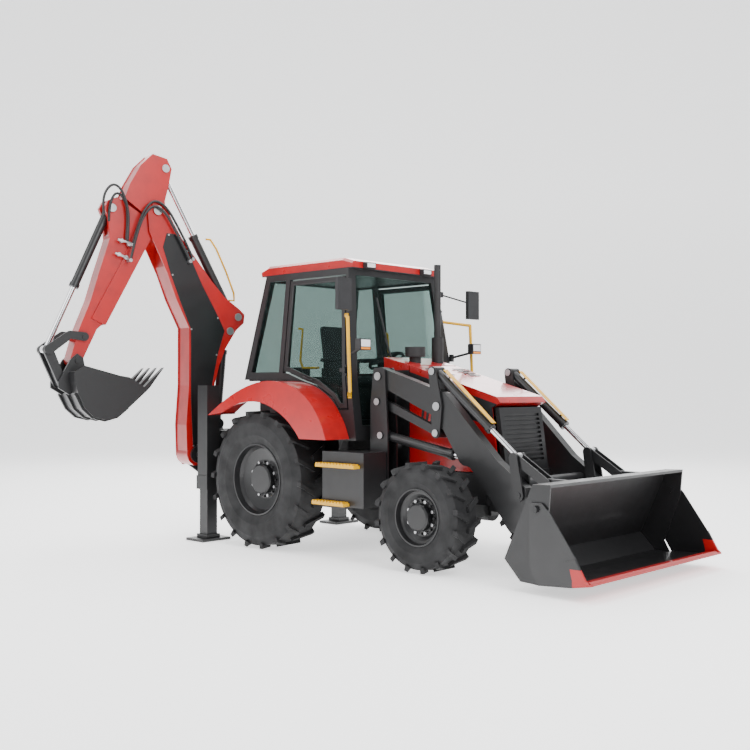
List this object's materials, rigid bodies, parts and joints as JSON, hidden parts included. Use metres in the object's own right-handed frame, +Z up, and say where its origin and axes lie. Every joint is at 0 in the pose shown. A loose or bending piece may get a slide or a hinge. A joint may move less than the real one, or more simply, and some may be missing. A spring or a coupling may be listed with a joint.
{
  "type": "backhoe loader",
  "caption": "Wheeled backhoe loader with a glazed cab, front loader arms with a split clam bucket, stabiliser legs and a folded rear digging arm on a side-shifting carriage.",
  "frame": {"origin": "middle of the overall footprint, on the ground", "axes": "+X forward, +Y to the machine's left, +Z up"},
  "size_m": [5.9877, 3.8253, 4.2739],
  "materials": {
    "bucket_steel": "worn dark grey enamel",
    "cab_glass": "clear with a faint green tint",
    "casting": "painted rough casting",
    "chrome_rod": "polished hard chrome",
    "grey_paint": "satin dark grey enamel",
    "red_paint": "semi-gloss red enamel",
    "rim_paint": "semi-gloss red enamel",
    "seat_cloth": "dark woven cloth",
    "trim_plastic": "grained black plastic",
    "tyre_rubber": "moulded black rubber",
    "yellow_paint": "satin yellow enamel"
  },
  "bodies": {
    "chassis": {"body_panels": "red_paint", "cab_frame": "grey_paint", "cab_glass": "cab_glass", "cab_roof": "red_paint", "controls": "trim_plastic", "engine": "casting", "front_axle": "casting", "grille": "grey_paint", "lamps_mirrors": "trim_plastic", "main_frame": "grey_paint", "rear_axle": "casting", "rear_frame": "grey_paint", "seat": "seat_cloth", "side_boxes": "grey_paint", "steps_rails": "yellow_paint"},
    "bonnet": {"bonnet": "red_paint"},
    "door_left": {"door_glass_left": "cab_glass", "door_left": "grey_paint"},
    "knuckle_left": {"knuckle_left": "casting"},
    "door_right": {"door_glass_right": "cab_glass", "door_right": "grey_paint"},
    "knuckle_right": {"knuckle_right": "casting"},
    "rear_wheel_left": {"rear_rim_left": "rim_paint", "rear_tyre_left": "tyre_rubber"},
    "front_wheel_left": {"front_rim_left": "rim_paint", "front_tyre_left": "tyre_rubber"},
    "rear_wheel_right": {"rear_rim_right": "rim_paint", "rear_tyre_right": "tyre_rubber"},
    "front_wheel_right": {"front_rim_right": "rim_paint", "front_tyre_right": "tyre_rubber"},
    "loader_arms": {"loader_arms": "red_paint"},
    "rear_links": {"rear_links": "grey_paint"},
    "levers": {"levers": "grey_paint"},
    "tilt_barrels": {"tilt_barrels": "grey_paint"},
    "lift_barrels": {"lift_barrels": "grey_paint"},
    "lift_rods": {"lift_rods": "chrome_rod"},
    "guide_pins": {"guide_pins": "casting"},
    "bucket_pins": {"bucket_pins": "casting"},
    "bucket_back": {"bucket_back": "bucket_steel"},
    "guide_levers": {"guide_levers": "grey_paint"},
    "bucket_links": {"bucket_links": "grey_paint"},
    "tilt_rods": {"tilt_rods": "chrome_rod"},
    "bucket_jaw": {"bucket_jaw": "bucket_steel"},
    "carriage": {"carriage": "grey_paint"},
    "kingpost": {"kingpost": "grey_paint"},
    "boom": {"boom": "red_paint"},
    "boom_barrel": {"boom_barrel": "grey_paint"},
    "boom_rod": {"boom_rod": "chrome_rod"},
    "dipper": {"dipper": "red_paint"},
    "dipper_barrel": {"dipper_barrel": "grey_paint"},
    "dipper_rod": {"dipper_rod": "chrome_rod"},
    "stick": {"stick": "grey_paint"},
    "hoe_bucket": {"hoe_bucket": "bucket_steel"},
    "rocker": {"rocker": "grey_paint"},
    "bucket_link": {"bucket_link": "grey_paint"},
    "bucket_barrel": {"bucket_barrel": "grey_paint"},
    "bucket_rod": {"bucket_rod": "chrome_rod"},
    "leg_left": {"leg_left": "grey_paint"},
    "leg_right": {"leg_right": "grey_paint"}
  },
  "joints": [
    {"name": "bonnet_hinge", "type": "hinge", "parent": "chassis", "child": "bonnet", "pos_m": [0.47, 0.69, 1.905], "axis": [0, -1, 0], "range_deg": [0, 50]},
    {"name": "door_left_hinge", "type": "hinge", "parent": "chassis", "child": "door_left", "pos_m": [-0.04964, 1.45226, 2.3], "axis": [0.1045, 0.1021, -0.9893], "range_deg": [0, 80]},
    {"name": "steer_left", "type": "hinge", "parent": "chassis", "child": "knuckle_left", "pos_m": [1.17, 1.39, 0.503], "axis": [0, 0, 1], "range_deg": [-22, 22]},
    {"name": "door_right_hinge", "type": "hinge", "parent": "chassis", "child": "door_right", "pos_m": [-0.04964, -0.07226, 2.3], "axis": [-0.1045, 0.1021, 0.9893], "range_deg": [0, 80]},
    {"name": "steer_right", "type": "hinge", "parent": "chassis", "child": "knuckle_right", "pos_m": [1.17, -0.01, 0.503], "axis": [0, 0, 1], "range_deg": [-22, 22]},
    {"name": "rear_wheel_left_spin", "type": "hinge", "parent": "chassis", "child": "rear_wheel_left", "pos_m": [-1.02, 1.595, 0.718], "axis": [0, 1, 0], "continuous": true},
    {"name": "front_wheel_left_spin", "type": "hinge", "parent": "knuckle_left", "child": "front_wheel_left", "pos_m": [1.17, 1.615, 0.503], "axis": [0, 1, 0], "continuous": true},
    {"name": "rear_wheel_right_spin", "type": "hinge", "parent": "chassis", "child": "rear_wheel_right", "pos_m": [-1.02, -0.215, 0.718], "axis": [0, 1, 0], "continuous": true},
    {"name": "front_wheel_right_spin", "type": "hinge", "parent": "knuckle_right", "child": "front_wheel_right", "pos_m": [1.17, -0.235, 0.503], "axis": [0, 1, 0], "continuous": true},
    {"name": "loader_lift", "type": "hinge", "parent": "chassis", "child": "loader_arms", "pos_m": [0.337, 0.69, 1.787], "axis": [0, -1, 0], "range_deg": [0, 60]},
    {"name": "rear_link_turn", "type": "hinge", "parent": "chassis", "child": "rear_links", "pos_m": [0.324, 0.69, 1.537], "axis": [0, -1, 0], "range_deg": [-0.5, 60.5]},
    {"name": "lever_turn", "type": "hinge", "parent": "loader_arms", "child": "levers", "pos_m": [1.08, 0.69, 1.5], "axis": [0, -1, 0], "range_deg": [-60.5, 0.5]},
    {"name": "tilt_barrel_turn", "type": "hinge", "parent": "levers", "child": "tilt_barrels", "pos_m": [1.025, 0.69, 1.828], "axis": [0, -1, 0], "range_deg": [-0.5, 60.5]},
    {"name": "lift_barrel_turn", "type": "hinge", "parent": "chassis", "child": "lift_barrels", "pos_m": [0.37, 0.69, 1.208], "axis": [0, -1, 0], "range_deg": [-0.5, 57]},
    {"name": "lift_rod_stroke", "type": "slide", "parent": "lift_barrels", "child": "lift_rods", "axis": [0.9841, 0, -0.1777], "range_m": [-0.005, 0.588]},
    {"name": "guide_pin_turn", "type": "hinge", "parent": "loader_arms", "child": "guide_pins", "pos_m": [2.005, 0.69, 0.732], "axis": [0, -1, 0], "range_deg": [-60.5, 0.5]},
    {"name": "bucket_pin_turn", "type": "hinge", "parent": "loader_arms", "child": "bucket_pins", "pos_m": [2.1, 0.69, 0.4], "axis": [0, -1, 0], "range_deg": [-60.5, 0.5]},
    {"name": "bucket_tilt", "type": "hinge", "parent": "bucket_pins", "child": "bucket_back", "pos_m": [2.1, 0.69, 0.4], "axis": [0, -1, 0], "range_deg": [-48, 6]},
    {"name": "guide_lever_turn", "type": "hinge", "parent": "guide_pins", "child": "guide_levers", "pos_m": [2.005, 0.69, 0.732], "axis": [0, -1, 0], "range_deg": [-77.92, 10.18]},
    {"name": "bucket_link_turn", "type": "hinge", "parent": "guide_levers", "child": "bucket_links", "pos_m": [1.95, 0.69, 1.06], "axis": [0, -1, 0], "range_deg": [-7.4, 55.69]},
    {"name": "tilt_rod_stroke", "type": "slide", "parent": "tilt_barrels", "child": "tilt_rods", "axis": [0.7694, 0, -0.6388], "range_m": [-0.0555, 0.4091]},
    {"name": "bucket_jaw_open", "type": "hinge", "parent": "bucket_back", "child": "bucket_jaw", "pos_m": [2.511, 0.69, 0.693], "axis": [0, -1, 0], "range_deg": [0, 60]},
    {"name": "hoe_shift", "type": "slide", "parent": "chassis", "child": "carriage", "axis": [0, 1, 0], "range_m": [-0.1, 1]},
    {"name": "hoe_swing", "type": "hinge", "parent": "carriage", "child": "kingpost", "pos_m": [-2.34, 0.19, 0.9], "axis": [0, 0, -1], "range_deg": [-10, 170]},
    {"name": "boom_lower", "type": "hinge", "parent": "kingpost", "child": "boom", "pos_m": [-2.40599, -0.18423, 0.92], "axis": [0.9848, -0.1736, 0], "range_deg": [-2, 88]},
    {"name": "boom_barrel_turn", "type": "hinge", "parent": "kingpost", "child": "boom_barrel", "pos_m": [-2.35129, 0.12599, 1.26], "axis": [0.9848, -0.1736, 0], "range_deg": [-2.69, 96.87]},
    {"name": "boom_rod_stroke", "type": "slide", "parent": "boom_barrel", "child": "boom_rod", "axis": [0.0154, 0.0871, 0.9961], "range_m": [-0.0195, 0.642]},
    {"name": "dipper_open", "type": "hinge", "parent": "boom", "child": "dipper", "pos_m": [-2.49264, -0.67565, 3.642], "axis": [-0.9848, 0.1736, 0], "range_deg": [-3, 92]},
    {"name": "dipper_barrel_turn", "type": "hinge", "parent": "boom", "child": "dipper_barrel", "pos_m": [-2.31638, 0.32393, 2.497], "axis": [-0.9848, 0.1736, 0], "range_deg": [-0.73, 7.71]},
    {"name": "dipper_rod_stroke", "type": "slide", "parent": "dipper_barrel", "child": "dipper_rod", "axis": [-0.0843, -0.4783, 0.8742], "range_m": [-0.7129, 0.0281]},
    {"name": "stick_extend", "type": "slide", "parent": "dipper", "child": "stick", "axis": [-0.0825, -0.4677, -0.88], "range_m": [0, 0.9]},
    {"name": "hoe_bucket_open", "type": "hinge", "parent": "stick", "child": "hoe_bucket", "pos_m": [-2.64979, -1.5669, 1.965], "axis": [-0.9848, 0.1736, 0], "range_deg": [-5, 120]},
    {"name": "rocker_turn", "type": "hinge", "parent": "stick", "child": "rocker", "pos_m": [-2.63538, -1.48516, 2.218], "axis": [-0.9848, 0.1736, 0], "range_deg": [-4.14, 87.87]},
    {"name": "bucket_side_link_turn", "type": "hinge", "parent": "rocker", "child": "bucket_link", "pos_m": [-2.70171, -1.86135, 2.074], "axis": [-0.9848, 0.1736, 0], "range_deg": [-52.41, 2.66]},
    {"name": "bucket_barrel_turn", "type": "hinge", "parent": "stick", "child": "bucket_barrel", "pos_m": [-2.58137, -1.17888, 3.625], "axis": [-0.9848, 0.1736, 0], "range_deg": [-0.54, 1.42]},
    {"name": "bucket_rod_stroke", "type": "slide", "parent": "bucket_barrel", "child": "bucket_rod", "axis": [-0.0708, -0.4017, -0.913], "range_m": [-0.5531, 0.0278]},
    {"name": "leg_left_lift", "type": "slide", "parent": "chassis", "child": "leg_left", "axis": [0, 0, 1], "range_m": [-0.15, 0.48]},
    {"name": "leg_right_lift", "type": "slide", "parent": "chassis", "child": "leg_right", "axis": [0, 0, 1], "range_m": [-0.15, 0.48]}
  ],
  "couplings": [
    {"joint": "steer_right", "follows": "steer_left", "ratio": 1},
    {"joint": "rear_link_turn", "follows": "loader_lift", "ratio": 1},
    {"joint": "lever_turn", "follows": "loader_lift", "ratio": -1},
    {"joint": "tilt_barrel_turn", "follows": "loader_lift", "ratio": 1},
    {"joint": "lift_barrel_turn", "follows": "loader_lift", "ratio": 0.94168},
    {"joint": "lift_rod_stroke", "follows": "loader_lift", "m_per_rad": 0.55671},
    {"joint": "guide_pin_turn", "follows": "loader_lift", "ratio": -1},
    {"joint": "bucket_pin_turn", "follows": "loader_lift", "ratio": -1},
    {"joint": "guide_lever_turn", "follows": "bucket_tilt", "ratio": 1.6128},
    {"joint": "bucket_link_turn", "follows": "bucket_tilt", "ratio": -1.1497},
    {"joint": "tilt_rod_stroke", "follows": "bucket_tilt", "m_per_rad": -0.48238},
    {"joint": "boom_barrel_turn", "follows": "boom_lower", "ratio": 1.0951},
    {"joint": "boom_rod_stroke", "follows": "boom_lower", "m_per_rad": 0.41472},
    {"joint": "dipper_barrel_turn", "follows": "dipper_open", "ratio": 0.078331},
    {"joint": "dipper_rod_stroke", "follows": "dipper_open", "m_per_rad": -0.44089},
    {"joint": "rocker_turn", "follows": "hoe_bucket_open", "ratio": 0.72809},
    {"joint": "bucket_side_link_turn", "follows": "hoe_bucket_open", "ratio": -0.43259},
    {"joint": "bucket_barrel_turn", "follows": "hoe_bucket_open", "ratio": 0.007654},
    {"joint": "bucket_rod_stroke", "follows": "hoe_bucket_open", "m_per_rad": -0.2617}
  ]
}
